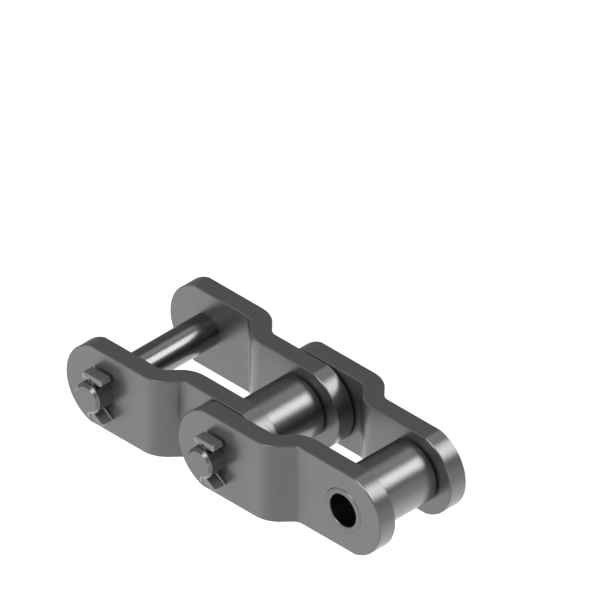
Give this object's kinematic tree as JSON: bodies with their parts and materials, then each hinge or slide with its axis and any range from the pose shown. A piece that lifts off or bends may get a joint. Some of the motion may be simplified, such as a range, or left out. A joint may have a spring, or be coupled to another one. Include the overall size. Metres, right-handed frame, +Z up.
{
  "type": "offset sidebar roller chain section",
  "caption": "Heavy offset sidebar roller chain section: joggled steel links with headed pins, tee headed cotters, pressed bushings and free rollers, hinged to wrap a sprocket.",
  "frame": {"origin": "middle of the open bushing bore at the narrow end of link b, half way across the chain", "axes": "+X along the straight chain from its wide end to its narrow end, +Y across it towards the pin heads, +Z up, square to both"},
  "size_m": [0.2743, 0.1321, 0.0604],
  "materials": {
    "sidebar_steel": "sheared and bent alloy steel plate, bead blasted, satin grey",
    "pin_steel": "turned and ground hardened steel, bright",
    "cotter_steel": "drawn steel wire, rolled flat and folded",
    "bushing_steel": "turned and ground case hardened steel",
    "roller_steel": "turned and ground hardened steel, bright"
  },
  "bodies": {
    "link_a": {"near_sidebar_a": "sidebar_steel", "far_sidebar_a": "sidebar_steel", "pin_a": "pin_steel", "cotter_a": "cotter_steel", "bushing_a": "bushing_steel"},
    "roller_a": {"roller_a": "roller_steel"},
    "link_b": {"near_sidebar_b": "sidebar_steel", "far_sidebar_b": "sidebar_steel", "pin_b": "pin_steel", "cotter_b": "cotter_steel", "bushing_b": "bushing_steel"},
    "roller_b": {"roller_b": "roller_steel"}
  },
  "joints": [
    {"name": "link_hinge", "type": "hinge", "parent": "link_a", "child": "link_b", "pos_m": [-0.10345, 0, 0], "axis": [0, 1, 0], "range_deg": [-105, 105]},
    {"name": "roller_a_spin", "type": "hinge", "parent": "link_a", "child": "roller_a", "pos_m": [-0.10345, 0, 0], "axis": [0, 1, 0], "continuous": true},
    {"name": "roller_b_spin", "type": "hinge", "parent": "link_b", "child": "roller_b", "pos_m": [0, 0, 0], "axis": [0, 1, 0], "continuous": true}
  ]
}
